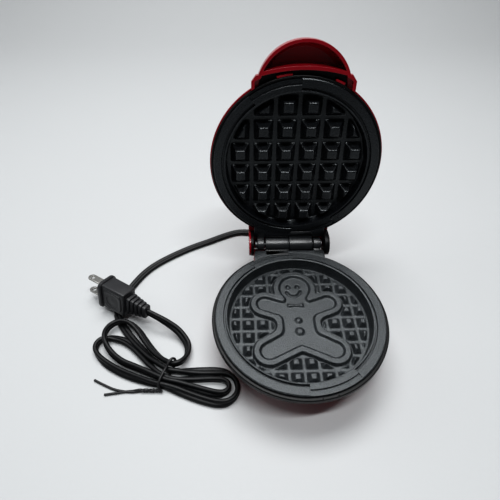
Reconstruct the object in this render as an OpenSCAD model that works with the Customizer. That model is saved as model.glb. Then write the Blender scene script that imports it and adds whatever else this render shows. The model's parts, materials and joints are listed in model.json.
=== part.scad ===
// Small round waffle maker, standing open: a base with a figure plate, a lid with a
// waffle plate on a two-knuckle hinge, and a flat lead that ends in a two-blade plug.
// Millimetres, +Z up, front towards -Y. The origin is on the table, below the middle
// of the open appliance.

/* [Overall] */
// Height of the parting plane, where the two plates meet, above the table
part_z = 38; // [34:0.5:44]
// Radius of the black ring around the base, the widest part
ring_r = 62.4; // [62:0.1:64]
// Height of the lid above the parting plane when it is closed
lid_h = 33; // [30:0.5:38]
// Angle by which the lid stands open
open_angle = 99.6; // [0:0.2:100]
// How far the plate centre lies in front of the origin
centre_back = 28.5; // [0:0.5:40]

/* [Plates] */
// Outer radius of the plate flange
flange_r = 60; // [58:0.1:60]
// Radius of the baking cavity at its edge
cavity_r = 51.5; // [50:0.1:52]
// Depth of the cavity in the base plate
base_cavity = 10; // [9:0.5:11]
// Depth of the cavity in the lid plate
lid_cavity = 8; // [7.5:0.5:9]
// Thickness of the cast floor
cast_t = 3; // [2.5:0.5:3.5]
// Spacing of the waffle pyramids in the lid
pyramid_pitch = 16.5; // [15:0.5:18]
// Spacing of the studs around the figure in the base
stud_pitch = 10.3; // [9:0.1:12]

/* [Hinge] */
// Distance of the hinge axis behind the plate centre
hinge_y = 69; // [68.5:0.5:71]
// Radius of the hinge knuckles
knuckle_r = 6; // [5.5:0.1:6]
// Length of each knuckle
knuckle_l = 19; // [16:0.5:19.5]
// Radius of the hinge pin
pin_r = 2; // [1.8:0.1:2.2]
// Radial clearance of the pin in its bores
pin_gap = 0.05; // [0.02:0.01:0.08]
// Distance of the hinge's middle to the left of the plate centre
hinge_left = 1.6; // [0:0.1:2]

/* [Handle] */
// Radius of the half-moon handle
handle_r = 31.5; // [28:0.5:32]
// Distance of the handle arc's centre in front of the plate centre
handle_y = 51; // [50:0.5:53]
// Height of the handle
handle_h = 14; // [12:0.5:15]
// Distance of the handle's middle to the right of the plate centre
handle_x = 1.2; // [0:0.1:2]

/* [Cord and plug] */
// Width of the flat cord
cord_w = 6.4; // [5.4:0.1:7]
// Thickness of the flat cord
cord_t = 3.4; // [2.8:0.1:3.8]
// Direction of the plug, counter-clockwise from +X
plug_turn = 149; // [140:1:160]
// Roll of the plug about its own axis
plug_roll = 14; // [0:1:20]

/* [Hidden] */
$fn = 96;
eps = 0.01;

// Shell section
wall = 2.2;
rim_r = ring_r - 0.4;
rim_in = 60.75;
ledge_z = 5.4;
bowl_top_r = 60.2;
bowl_top_z = 9;
lid_rim_r = 62.6;
lid_rim_profile = [[lid_rim_r, 5], [lid_rim_r - 0.7, 8], [lid_rim_r - 1.8, 11]];
bowl_r = 48.6;
base_bowl_r = 43;
cover_r = 37;
cover_opening_r = 28.5;
cover_screw_ring = 33.5;
foot_x = 22.5;
corner_r = 3;
base_h = part_z - 2;
ring_drop = 6.6;
shelf_z = 3.2;
shelf_t = 2;
shelf_in = 54.9;
shelf_out = 60.6;
screw_hole_r = 1.3;
screw_head_room = 2.3;
hook_ring = 56.9;
housing_w = 57;
housing_back = hinge_y + 4;
housing_top = 9;
cover_t = 2;
lid_block_w = 65.4;
lid_block_back = hinge_y + 9;
lid_block_z = 7;
lid_block_h = 22;
ear_t = 3.4;
ear_r = 9;

// Plate section
lip_r = 53;
groove_r = 53.8;
band_r = 56.5;
lip_z = 0.2;
flange_z = 0.6;
low_z = 1;
groove_z = 1.6;
flange_back = 3.2;
boss_r = 4;
boss_ring = 24;
boss_h = 8;
flange_screw_ring = 56.9;
tongue_w = 57;
tongue_y = hinge_y - knuckle_r - 0.6;
ear_x = 20.1;
ear_w = 5.9;
plate_ear_r = 5.2;
pin_end = ear_x + ear_w + 1.2;
sector = 35;

// Waffle pattern
pyramid_base = 13.2;
pyramid_top = 6.3;
pyramid_h = 7;
stud_base = 8;
stud_top = 3.6;
stud_h = 4;
band_w = 5;
band_h = 3;
figure_h = 0.8;
head_y = 28.5;
head_r = 11.7;
torso_r = 11.4;
arm_r = 6;
leg_r = 6.6;

// Handle
handle_wall = 2.0;
handle_flare = 34;
handle_back = 4;
handle_draw = 5;
frame_top = 1.2;
frame_base = 3.4;
frame_r = rim_r - 0.3;
frame_in = 60.35;
frame_gap = 0.2;
panel_z = 4.4;
panel_t = 1.4;
tab_r = 61.9;
tab_t = 1.4;
ridge_far = 45;
ridge_r = 112.3;
ridge_t = 2.4;

// Heating and wiring
element_ring = 34;
element_r = 3.2;
shield_t = 0.6;

// Cord route, from the grommet to the loops and from the loops to the plug
lead_route = [
    [-6, 65.9, 18], [-6.2, 70, 17.4], [-8, 77.5, 13.5], [-14, 85.5, 8.5],
    [-23, 90.5, 4.5], [-33, 93.3, 2.5], [-43, 94, 1.8], [-54, 90.5, 1.8],
    [-71, 82, 1.8], [-89, 73, 1.8], [-105, 63, 1.8], [-118, 53, 1.8],
    [-127, 43, 1.8], [-134, 31, 1.8], [-139, 19, 1.8], [-142, 8, 1.8],
    [-142, -2, 1.8], [-138, -9.5, 1.8]];
tail_route = [
    [-114, -9.5, 15.7], [-108, -13, 14.5], [-101, -17, 11.5], [-92, -22, 7.5],
    [-85, -28, 4.5], [-81.5, -35, 3.5], [-83, -43, 4.2], [-87.5, -48.5, 5.8]];
plug_exit = tail_route[0];
hank_z = 0.8;
hank_t = 9;
hank_parts = [[-128, -35, 27.6], [-74, -61.5, 14.5], [-57, -65, 14.5]];
waist_w = 24;
waist_end = [-112, -52];
blade_gap = 12.7;

// ---------- helpers ----------

// Places a base part: plate centre coordinates, z as a height above the table.
module place() {
    translate([0, -centre_back, 0]) children();
}

// Places a part drawn upside down, with z as the depth below the parting plane.
module below() {
    place() translate([0, 0, part_z]) rotate([0, 180, 0]) children();
}

// Places a lid part, drawn closed with z as the height above the parting plane.
module on_lid() {
    place() translate([0, hinge_y, part_z]) rotate([-open_angle, 0, 0])
        translate([0, -hinge_y, 0]) children();
}

// A bar of constant section along X, from x0 to x1; the section lies in the YZ plane.
module along_x(x0, x1) {
    translate([x0, 0, 0]) rotate([90, 0, 90]) linear_extrude(x1 - x0) children();
}

// A cylinder along X.
module rod_x(x0, x1, r, y, z) {
    translate([x0, y, z]) rotate([0, 90, 0]) cylinder(h = x1 - x0, r = r);
}

module rounded_rect(w, h, r) {
    square([w - 2 * r, h], center = true);
    square([w, h - 2 * r], center = true);
    for (x = [-1, 1], y = [-1, 1])
        translate([x * (w / 2 - r), y * (h / 2 - r)]) circle(r);
}

// A straight limb with round ends.
module limb(a, b, r) {
    d = b - a;
    translate(a) circle(r);
    translate(b) circle(r);
    translate(a) rotate(atan2(d[1], d[0])) translate([0, -r]) square([norm(d), 2 * r]);
}

function unit(v) = v / norm(v);

// Direction of a route at point i.
function heading(p, i) =
    unit(p[min(i + 1, len(p) - 1)] - p[max(i - 1, 0)]);

// One point of a smooth curve between p[i] and p[i + 1].
function between(p, i, t) =
    let (a = p[max(i - 1, 0)], b = p[i], c = p[i + 1], d = p[min(i + 2, len(p) - 1)])
    0.5 * (2 * b + (c - a) * t + (2 * a - 5 * b + 4 * c - d) * t * t
        + (3 * b - a - 3 * c + d) * t * t * t);

// The route with one more point in each gap.
function smooth(p) = concat(
    [for (i = [0:len(p) - 2], t = [0, 0.5]) between(p, i, t)], [p[len(p) - 1]]);

// A tube of oval section swept along a route, w wide and t thick.
module tube(route, w, t, sides = 8) {
    n = len(route);
    rings = [for (i = [0:n - 1])
        let (h = heading(route, i), side = unit(cross(h, [0, 0, 1])), up = cross(side, h))
        for (k = [0:sides - 1])
            let (a = 360 * (k + 0.5) / sides)
            route[i] + side * w / 2 * cos(a) + up * t / 2 * sin(a)];
    skin = [for (i = [0:n - 2], k = [0:sides - 1])
        let (m = (k + 1) % sides)
        [i * sides + k, i * sides + m, (i + 1) * sides + m, (i + 1) * sides + k]];
    first = [for (k = [sides - 1:-1:0]) k];
    last = [for (k = [0:sides - 1]) (n - 1) * sides + k];
    polyhedron(points = rings, faces = concat([first], skin, [last]), convexity = 8);
}

// ---------- shells ----------

// Outer section of a half, as a half profile of radius against depth.
function bowl_outline(top, depth, inset, low_r) = concat(
    [[0, top]],
    inset > 0 ? [[rim_in, top], [rim_in, ledge_z]]
        : top < ring_drop ? concat([[lid_rim_r, top]], lid_rim_profile)
        : [[rim_r - 1, ring_drop]],
    inset == 0 && top < ring_drop ? [] : [[bowl_top_r - inset, bowl_top_z]],
    [for (a = [0:15:90])
        [low_r - corner_r + (corner_r - min(inset, corner_r - 0.5)) * cos(a)
            - max(0, inset - corner_r + 0.5),
         depth - inset - (corner_r - min(inset, corner_r - 0.5)) * (1 - sin(a))]],
    [[0, depth - inset]]);

module bowl(top, depth, inset, low_r) {
    rotate_extrude() polygon(bowl_outline(top, depth, inset, low_r));
}

// Inner ledge of a rim ring, under the plate flange, with hooks that hold the shell.
module ledge() {
    difference() {
        rotate_extrude() translate([shelf_in, shelf_z])
            square([shelf_out - shelf_in, shelf_t]);
        flange_screw_places() translate([0, 0, 2]) cylinder(h = 5, r = screw_hole_r);
    }
    for (a = [0, 125, 180, 300]) rotate([0, 0, a])
        translate([hook_ring, -4, shelf_z + shelf_t - 0.5]) {
            cube([1.2, 8, 4]);
            translate([0, 0, 3]) cube([1.35, 8, 1]);
        }
}

module flange_screw_places() {
    for (a = [20:40:340])
        if (a % 120 == 20)
            rotate([0, 0, a]) translate([flange_screw_ring, 0, 0]) children();
}

module shield_screw_places() {
    for (a = [30:120:270]) rotate([0, 0, a]) translate([boss_ring, 0, 0]) children();
}

// Moves hinge parts sideways to the hinge's middle; side is 1 in the lid, -1 in the base.
module hinged(side) {
    translate([-side * hinge_left, 0, 0]) children();
}

// Room at the back of a shell for the plate's tongue, knuckle and ear.
module hinge_window(side) {
    hinged(side) translate([-tongue_w / 2 - 0.5, 48, -1]) cube([tongue_w + 1, 40, lid_block_z + 1]);
}

module base_housing(inset, deep) {
    y0 = 30;
    hinged(-1) translate([-housing_w / 2 + inset, y0, housing_top + inset])
        cube([housing_w - 2 * inset, housing_back - y0 - inset,
            deep - housing_top - inset]);
}

module clamp_places() {
    for (x = [-7, 7]) translate([6 + x, 58, 0]) children();
}

module base_shell() {
    color("firebrick") below() difference() {
        union() {
            difference() {
                union() {
                    bowl(ring_drop, base_h, 0, base_bowl_r);
                    base_housing(0, base_h);
                }
                bowl(1, base_h - wall, wall, base_bowl_r);
                base_housing(wall, base_h - 2 * wall);
                cover_outline(0.3, base_h - cover_t, 3);
                translate([0, 0, base_h - 8]) cylinder(h = 10, r = cover_opening_r);
                translate([-19, 25, base_h - 8]) cube([38, 26, 10]);
            }
            cover_screw_places() translate([0, 0, base_h - 12]) cylinder(h = 9, r = 3.2);
            clamp_places() translate([0, 0, base_h - 14]) cylinder(h = 11, r = 2.6);
        }
        cover_screw_places() translate([0, 0, base_h - 13]) cylinder(h = 13, r = 1.3);
        foot_places() translate([0, 0, base_h - 6]) cylinder(h = 6, r = 3.2);
        clamp_places() translate([0, 0, base_h - 15]) cylinder(h = 10, r = 1.1);
        hinge_window(-1);
        translate([6, housing_back - 6, base_h - 18]) rotate([-90, 0, 0])
            cylinder(h = 12, r = 5);
    }
}

module base_rim_ring() {
    color([0.07, 0.07, 0.08]) below() difference() {
        union() {
            rotate_extrude() polygon([
                [60.5, 2.6], [ring_r - 0.5, 2.6], [ring_r, 3.1], [ring_r, 6.1],
                [ring_r - 0.5, ring_drop], [60.5, ring_drop]]);
            ledge();
        }
        hinge_window(-1);
        for (a = [0, 30, 149])
            rotate([0, 0, -a]) translate([ring_r - 0.8, -0.4, 2]) cube([3, 0.8, 5]);
        rotate([0, 0, -101.6]) for (y = [-5.4, 4.8])
            translate([60.9, y, 2]) cube([6, 0.6, 1.6]);
    }
}

// Outline of the cover under the base, from depth z over a height h.
module cover_outline(grow, z, h) {
    translate([0, 0, z]) linear_extrude(h) {
        circle(cover_r + grow);
        translate([-24 - grow, 20]) square([48 + 2 * grow, 48.4 + grow]);
    }
}

module cover_screw_places() {
    for (p = [[cover_screw_ring, 0], [-cover_screw_ring, 0], [0, -cover_screw_ring], [-9, 62]])
        translate([p[0], p[1], 0]) children();
}

module foot_places() {
    for (p = [[foot_x, -foot_x], [-foot_x, -foot_x], [19, 60], [-19, 60]])
        translate([p[0], p[1], 0]) children();
}

module bottom_cover() {
    color([0.1, 0.1, 0.11]) below() difference() {
        cover_outline(0, base_h - cover_t, cover_t);
        cover_screw_places() translate([0, 0, base_h - 3]) cylinder(h = 4, r = 1.6);
        foot_places() translate([0, 0, base_h - 3]) cylinder(h = 4, r = 2.1);
    }
}

module cover_screws() {
    color("silver") below() cover_screw_places() screw(base_h, 9, 1.2, 2.7);
}

// A pan-head screw driven upwards through a face at depth z, with a cross slot.
module screw(z, length, r, head_r) {
    difference() {
        union() {
            translate([0, 0, z - length]) cylinder(h = length + 0.5, r = r);
            translate([0, 0, z]) cylinder(h = 1.5, r = head_r);
        }
        translate([0, 0, z + 1.1]) cube([2.4, 0.6, 1], center = true);
        translate([0, 0, z + 1.1]) cube([0.6, 2.4, 1], center = true);
    }
}

module rubber_feet() {
    color([0.05, 0.05, 0.05]) below() foot_places() {
        translate([0, 0, base_h]) cylinder(h = part_z - base_h, r = 5);
        translate([0, 0, base_h - 2.5]) cylinder(h = 3, r = 2);
        translate([0, 0, base_h - 3.6]) cylinder(h = 1.5, r = 2.6);
    }
}

// ---------- plates ----------

// Section of the knuckle or ear arm: a boss of radius r on the axis and its root.
module arm_section(r) {
    difference() {
        union() {
            translate([hinge_y, 0]) circle(r);
            polygon([[56, flange_z], [64, flange_z], [hinge_y, 0], [hinge_y, r],
                [64.5, r], [58, flange_back], [56, flange_back]]);
        }
        translate([hinge_y, 0]) circle(pin_r + pin_gap);
    }
}

// The casting that both halves share, drawn as the closed lid's: cavity downwards.
module casting(cavity, side) {
    floor_z = cavity + cast_t;
    difference() {
        union() {
            rotate_extrude() polygon([
                [0, cavity], [cavity_r - 1.5, cavity], [cavity_r, lip_z],
                [lip_r, lip_z], [lip_r, groove_z], [groove_r, groove_z],
                [groove_r, flange_z], [flange_r, flange_z], [flange_r, flange_back],
                [54.8, flange_back], [53.2, floor_z], [0, floor_z]]);
            for (a = [270 - sector, 90 - sector]) rotate([0, 0, a])
                rotate_extrude(angle = sector) translate([lip_r - 0.5, lip_z])
                    square([band_r - lip_r + 0.5, 2]);
            difference() {
                hinged(side) translate([-tongue_w / 2, 48, flange_z])
                    cube([tongue_w, tongue_y - 48, flange_back - flange_z]);
                translate([0, 0, -1]) cylinder(h = 8, r = flange_r - 1);
            }
            hinged(side) {
                along_x(0.2, 0.2 + knuckle_l) arm_section(knuckle_r);
                along_x(-ear_x - ear_w, -ear_x) arm_section(plate_ear_r);
            }
            shield_screw_places() translate([0, 0, floor_z - 0.5])
                cylinder(h = boss_h + 0.5, r = boss_r);
            for (r = [element_ring - 5.6, element_ring + 4.1])
                rotate_extrude() translate([r, floor_z - 0.5]) square([1.5, 3]);
        }
        for (a = [270 - sector, 90 - sector]) rotate([0, 0, a])
            rotate_extrude(angle = sector) translate([band_r, -1])
                square([flange_r - band_r + 1, low_z + 1]);
        shield_screw_places() translate([0, 0, floor_z + 1]) cylinder(h = boss_h, r = 1.5);
        flange_screw_places() translate([0, 0, 1.5]) cylinder(h = 2.2, r = 1.15);
    }
}

// One row of ridges with sloping sides, seen from the end.
module ridge_row(count, pitch, base, top, height) {
    for (i = [-(count - 1) / 2:(count - 1) / 2]) translate([i * pitch, 0])
        polygon([[-base / 2, -eps], [base / 2, -eps], [top / 2, height],
            [-top / 2, height]]);
}

// A field of blunt pyramids standing on z = 0.
module pyramids(count, pitch, base, top, height) {
    side = (count + 1) * pitch;
    intersection() {
        translate([0, side / 2, 0]) rotate([90, 0, 0]) linear_extrude(side)
            ridge_row(count, pitch, base, top, height);
        translate([-side / 2, 0, 0]) rotate([90, 0, 90]) linear_extrude(side)
            ridge_row(count, pitch, base, top, height);
    }
}

// Outline of the biscuit figure, grown by g all round.
module figure(g) {
    offset(r = g, $fn = 48) {
        translate([0, head_y]) circle(head_r, $fn = 48);
        limb([0, 7], [0, -8], torso_r, $fn = 48);
        for (s = [-1, 1]) {
            limb([s * 6, 7.6], [s * 23.7, 14.3], arm_r, $fn = 48);
            limb([s * 4.5, -15.3], [s * 22.4, -25], leg_r, $fn = 48);
        }
    }
}

module lower_plate() {
    color([0.28, 0.29, 0.3]) {
        below() casting(base_cavity, -1);
        place() translate([-0.5, 0, part_z - base_cavity]) intersection() {
            translate([0, -3.2, -0.3]) union() {
                translate([stud_pitch / 2, 0, 0.3])
                    pyramids(10, stud_pitch, stud_base, stud_top, stud_h);
            }
            difference() {
                translate([0, 0, -0.3]) cylinder(h = 9, r = 47.8);
                translate([0, 0, -1]) linear_extrude(10) figure(band_w + 1.2);
            }
        }
        place() translate([-0.5, 0, part_z - base_cavity - eps]) figure_relief();
    }
}

// Raised outline and low relief of the biscuit figure on the base plate.
module figure_relief() {
    difference() {
        linear_extrude(band_h) figure(band_w);
        translate([0, 0, figure_h]) linear_extrude(band_h) figure(0);
    }
    for (p = [[0, -0.6, 2.8], [0, -9.8, 3.4]])
        translate([p[0], p[1], 0]) cylinder(h = figure_h + 1.2, r = p[2]);
    translate([0, 12.7, 0]) linear_extrude(figure_h + 1) polygon([
        [-6, 2.2], [-1.2, 0.9], [1.2, 0.9], [6, 2.2], [6, -2.2], [1.2, -0.9],
        [-1.2, -0.9], [-6, -2.2]]);
}

module upper_plate() {
    color([0.1, 0.1, 0.12]) on_lid() {
        casting(lid_cavity, 1);
        intersection() {
            translate([0.8, 0, lid_cavity + 0.01]) rotate([180, 0, 0])
                pyramids(6, pyramid_pitch, pyramid_base, pyramid_top, pyramid_h);
            cylinder(h = lid_cavity + 0.5, r = 47.8);
        }
    }
}

module lower_element() {
    color([0.5, 0.45, 0.4]) below() element_at(base_cavity + cast_t);
}

// Ring-shaped heating tube behind a plate, with its two cold pins.
module element_at(floor_z) {
    translate([0, 0, floor_z + element_r]) rotate([0, 0, 108])
        rotate_extrude(angle = 324) translate([element_ring, 0]) circle(element_r, $fn = 48);
    for (a = [110, 70]) rotate([0, 0, a]) translate([element_ring, 0, floor_z + element_r])
        cylinder(h = 9, r = 1.3);
}

// Bright dish behind an element that throws the heat back at the plate.
module heat_shield(z) {
    difference() {
        rotate_extrude() polygon([
            [9, z], [44, z], [46, z - 3], [46.6, z - 3], [44.4, z + shield_t],
            [9, z + shield_t]]);
        shield_screw_places() translate([0, 0, z - 1]) cylinder(h = 4, r = 1.7);
        for (a = [110, 70]) rotate([0, 0, a]) translate([element_ring, 0, z - 1])
            cylinder(h = 4, r = 2.6);
    }
}

module lower_heat_shield() {
    color("gainsboro") below() heat_shield(base_cavity + cast_t + boss_h);
}

module lower_shield_screws() {
    color("silver") below() shield_screw_places()
        screw(base_cavity + cast_t + boss_h + shield_t, 6, 1.4, 2.7);
}

module lower_flange_screws() {
    color("silver") below() flange_screw_places()
        screw(shelf_z + shelf_t, 3.6, 1.1, 1.9);
}

// ---------- hinge ----------

module hinge_pin() {
    color("silver") below() hinged(-1) {
        rod_x(-pin_end, ear_x + ear_w + 0.2, pin_r, hinge_y, 0);
        rod_x(ear_x + ear_w + 0.2, ear_x + ear_w + 1.4, 3.2, hinge_y, 0);
    }
}

module pin_retainer() {
    color("dimgray") below() hinged(-1) difference() {
        rod_x(-pin_end + 0.1, -pin_end + 0.9, 3.4, hinge_y, 0);
        rod_x(-pin_end - 1, -pin_end + 2, pin_r, hinge_y, 0);
    }
}

// ---------- controls and wiring in the base ----------

module thermostat() {
    z = base_cavity + cast_t;
    color("ivory") below() {
        translate([0, 0, z]) cylinder(h = 5, r = 7.5);
        for (x = [-4, 4]) translate([x - 0.4, -3, z + 4]) cube([0.8, 6, 7]);
    }
}

module thermostat_clip() {
    z = base_cavity + cast_t + 5;
    color("gainsboro") below() difference() {
        union() {
            translate([-8.6, -5, z]) cube([17.2, 10, 0.6]);
            for (x = [-8.6, 8]) translate([x, -3, z - 5]) cube([0.6, 6, 5.3]);
        }
        for (x = [-4, 4]) translate([x - 0.8, -3.5, z - 1]) cube([1.6, 7, 3]);
    }
}

module thermal_fuse() {
    color("ivory") below() {
        rod_x(-16, -2, 2, 14, 26);
        rod_x(-20, 2, 0.6, 14, 26);
    }
}

module wire_connectors() {
    color("whitesmoke") below() for (x = [-11, 11]) rod_x(x - 5, x + 5, 2.2, 40, 27);
}

module base_wiring() {
    color("white") below() {
        tube(smooth([[16, 40, 27], [21, 39, 26.5], [20, 34, 26], [12.6, 31.9, 24.6]]),
            2, 2);
        tube(smooth([[-16, 40, 27], [-21.5, 34, 27], [-24.5, 22, 27.4], [-19.5, 14, 26]]), 2, 2);
        tube(smooth([[1, 14, 26], [6, 10, 26.5], [7, 4, 25], [4.2, 0, 23.6]]), 2, 2);
        tube(smooth([[-4.2, 0, 23.6], [-12, 8, 24.4], [-16, 20, 24.4],
            [-12.6, 31.9, 24.6]]), 2, 2);
        for (s = [-1, 1])
            tube([[s * 6, 40, 27], [s * 4 + 1, 44, 26.6], [s * 2 + 5, 50, 25],
                [s * 1.3 + 6, 55, 23.6], [s * 1.3 + 6, 61, 23.4], [s * 1.3 + 6, 66, 20],
                [s * 1.3 + 6, 68.8, 18.2]], 2, 2);
    }
}

// Tapered rubber sleeve where the cord leaves the back of the base.
module cord_grommet() {
    start = housing_back - wall - 2;
    color([0.06, 0.06, 0.06]) below() translate([6, start, base_h - 18])
        rotate([-90, 0, 0]) {
            cylinder(h = 2, r = 6.2);
            cylinder(h = wall + 2.2, r = 4.9);
            translate([0, 0, wall + 2]) cylinder(h = 1.8, r = 6.2);
            for (i = [0:4]) translate([0, 0, wall + 5 + i * 4])
                cylinder(h = 2.4, r1 = 5.6 - i * 0.4, r2 = 5.3 - i * 0.4);
            cylinder(h = wall + 23.4, r1 = 4.7, r2 = 3.9);
        }
}

module cord_clamp() {
    color("ivory") below() difference() {
        translate([-4, 54.5, base_h - 16]) cube([20, 7, 2]);
        clamp_places() translate([0, 0, base_h - 17]) cylinder(h = 4, r = 1.3);
    }
}

module clamp_screws() {
    color("silver") below() clamp_places() mirror([0, 0, 1])
        screw(16 - base_h, 7, 1.05, 2.3);
}

// ---------- lid ----------

module lid_block(inset) {
    hinged(1) along_x(-lid_block_w / 2 + inset, lid_block_w / 2 - inset) polygon([
        [40, lid_block_z + inset], [lid_block_back - inset, lid_block_z + inset],
        [lid_block_back - inset, 15 - inset / 2],
        [lid_block_back - 6 - inset / 2, lid_block_h - inset],
        [40, lid_block_h - inset]]);
}

module lid_ears() {
    hinged(1) for (x = [-lid_block_w / 2, lid_block_w / 2 - ear_t])
        along_x(x, x + ear_t) {
            translate([hinge_y, 0]) circle(ear_r);
            translate([hinge_y - ear_r, 0]) square([2 * ear_r, lid_block_z + 1]);
        }
}

// Outline of the handle, inset by g.
module handle_outline(g) {
    translate([handle_x, 0]) {
        translate([0, -handle_y]) circle(handle_r - g);
        polygon([[-handle_flare + g, -50], [-handle_flare + g, -58], [-31 + g, -62 + g],
            [31 - g, -62 + g], [handle_flare - g, -58], [handle_flare - g, -50]]);
    }
}

// Turned body that draws the handle in towards its rounded back, inset by g.
module handle_round(front, g) {
    translate([handle_x, -handle_y, 0]) rotate_extrude() polygon(concat(
        [[0, -2], [front, -2], [front, handle_back / 2]],
        [for (a = [0:25:75]) [handle_r + 0.1 - g - handle_draw * (1 - cos(a)),
            handle_back + (handle_h - handle_back - g) * sin(a)]],
        [[0, handle_h - g]]));
}

// The part of a plane in front of the ridge between the finger pocket and the plate.
module before_ridge(r) {
    translate([handle_x, 0]) difference() {
        translate([-50, -100]) square([100, 60]);
        translate([0, ridge_far]) circle(r);
    }
}

// Two upright tabs behind the ridge that guide the plate, grown by g.
module guide_tabs(g) {
    for (a = [[-15.2, 9.4], [20.6, 6]]) rotate([0, 0, 270 + a[0] - g])
        rotate_extrude(angle = a[1] + 2 * g) translate([tab_r - g, 1.6])
            square([tab_t + 2 * g, handle_h - 3]);
}

module lid_shell() {
    color("firebrick") on_lid() difference() {
        union() {
            difference() {
                union() {
                    bowl(frame_base, lid_h, 0, bowl_r);
                    lid_block(0);
                    intersection() {
                        translate([0, 0, 0.4]) linear_extrude(handle_h) handle_outline(0);
                        handle_round(40, 0);
                    }
                }
                bowl(0, lid_h, wall, bowl_r);
                intersection() {
                    lid_block(wall);
                    translate([-50, 0, 0]) cube([100, 90, 40]);
                }
                intersection() {
                    translate([0, 0, -1]) linear_extrude(handle_h) before_ridge(ridge_r);
                    handle_round(handle_r - handle_wall, handle_wall);
                }
                intersection() {
                    translate([0, 0, -1]) linear_extrude(handle_h) difference() {
                        handle_outline(wall);
                        before_ridge(ridge_r - ridge_t);
                    }
                    handle_round(40, wall);
                }
            }
            lid_ears();
            guide_tabs(0);
        }
        hinge_window(1);
        translate([0, 0, -1]) cylinder(h = frame_base + 1, r = frame_r + frame_gap);
        translate([0, 26, lid_h - 4]) cylinder(h = 6, r = 3);
    }
}

// The part of the handle between the ridge and the bowl, inset by g.
module behind_ridge(g) {
    difference() {
        handle_outline(wall + g);
        before_ridge(ridge_r - ridge_t - g);
    }
}

// Black ring that carries the lid plate, with a deep tongue that closes the handle's root.
module lid_frame() {
    color([0.05, 0.05, 0.06]) on_lid() difference() {
        union() {
            rotate_extrude() polygon([
                [frame_in, frame_top], [frame_r - 0.4, frame_top], [frame_r, frame_top + 0.4],
                [frame_r, frame_base], [frame_in, frame_base]]);
            ledge();
            intersection() {
                translate([0, 0, panel_z]) linear_extrude(panel_t)
                    behind_ridge(0.3);
                handle_round(40, wall + 0.3);
            }
        }
        hinge_window(1);
        guide_tabs(0.4);
        cylinder(h = shelf_z, r = frame_in);
        cylinder(h = 9, r = shelf_in - eps);
        flange_screw_places() {
            translate([0, 0, 2]) cylinder(h = 5, r = screw_hole_r);
            translate([0, 0, shelf_z + shelf_t]) cylinder(h = 3, r = screw_head_room);
        }
    }
}

module upper_element() {
    color([0.5, 0.45, 0.4]) on_lid() element_at(lid_cavity + cast_t);
}

module upper_heat_shield() {
    color("gainsboro") on_lid() heat_shield(lid_cavity + cast_t + boss_h);
}

module upper_shield_screws() {
    color("silver") on_lid() shield_screw_places()
        screw(lid_cavity + cast_t + boss_h + shield_t, 6, 1.4, 2.7);
}

module upper_flange_screws() {
    color("silver") on_lid() flange_screw_places()
        screw(shelf_z + shelf_t, 3.6, 1.1, 1.9);
}

module indicator_lens() {
    color([0.9, 0.35, 0.2]) on_lid() translate([0, 26, 0]) {
        translate([0, 0, lid_h - 3.4]) cylinder(h = 3.8, r = 2.9);
        translate([0, 0, lid_h - 3.6]) cylinder(h = 3.6 - wall, r = 4);
    }
}

module indicator_lamp() {
    color("orange") on_lid() translate([0, 26, 0]) {
        translate([0, 0, 22]) cylinder(h = 5, r = 2);
        translate([0, 0, 27]) sphere(r = 2);
    }
}

module lid_wiring() {
    color("white") on_lid() for (s = [-1, 1]) {
        tube(smooth([[s * 11.6, 32, 22.6], [s * 12, 36, 25], [s * 10, 48, 20],
            [s * 8, 58, 15], [s * 8, 66, 13]]), 2, 2);
        tube(smooth([[s * 1.2, 26, 22.4], [s * 2, 27, 20.8], [s * 6, 34, 21.6],
            [s * 11.6, 35, 24.2]]), 1.2, 1.2);
    }
}

// ---------- cord and plug ----------

module cord_lead() {
    color([0.08, 0.08, 0.08]) tube(smooth(lead_route), cord_w, cord_t);
}

module cord_tail() {
    color([0.08, 0.08, 0.08]) tube(smooth(tail_route), cord_w, cord_t);
}

// Envelope of the tied loops: a wide lobe, a waist at the tie and a long lobe.
module cord_hank() {
    lobe = hank_parts[1];
    color([0.1, 0.1, 0.1]) translate([0, 0, hank_z]) linear_extrude(hank_t) {
        translate([hank_parts[0][0], hank_parts[0][1]]) circle(hank_parts[0][2]);
        hull() for (p = [lobe, hank_parts[2]])
            translate([p[0], p[1]]) circle(p[2], $fn = 48);
        hull() for (p = [waist_end, lobe])
            translate([p[0], p[1]]) circle(waist_w / 2, $fn = 48);
    }
}

module plug_place() {
    translate(plug_exit) rotate([0, 0, plug_turn]) rotate([plug_roll, 0, 0]) children();
}

// A slice of the plug, from x0 to x1 along its axis.
module plug_slice(x0, x1, w, h, r) {
    translate([x0, 0, 0]) rotate([90, 0, 90]) linear_extrude(x1 - x0)
        rounded_rect(w, h, r);
}

module plug_body() {
    color([0.09, 0.09, 0.1]) plug_place() {
        plug_slice(0, 20, 6.6, 9.4, 2);
        for (i = [0:5]) plug_slice(0.4 + i * 3.1, 2.4 + i * 3.1, 8.4 + i * 0.5,
            11 + i * 0.9, 2.4);
        difference() {
            plug_slice(19, 41, 13.4, 22, 1.8);
            for (s = [-1, 1]) translate([29, s * 7.2, 0]) rotate([90, 0, 0])
                cylinder(h = 2, r = 6, center = true);
        }
        plug_slice(40.5, 43.5, 18, 25, 4);
    }
}

module plug_blades() {
    color("silver") plug_place() for (s = [-1, 1])
        translate([43.5, 0, s * blade_gap / 2]) difference() {
            translate([0, 0, -0.75]) linear_extrude(1.5) {
                translate([0, -3.2]) square([14.5, 6.4]);
                polygon([[14.4, -3.2], [16.4, -2.2], [17.5, 0], [16.4, 2.2],
                    [14.4, 3.2]]);
            }
            translate([13.6, 0, -2]) cylinder(h = 4, r = 1.5);
        }
}

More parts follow.
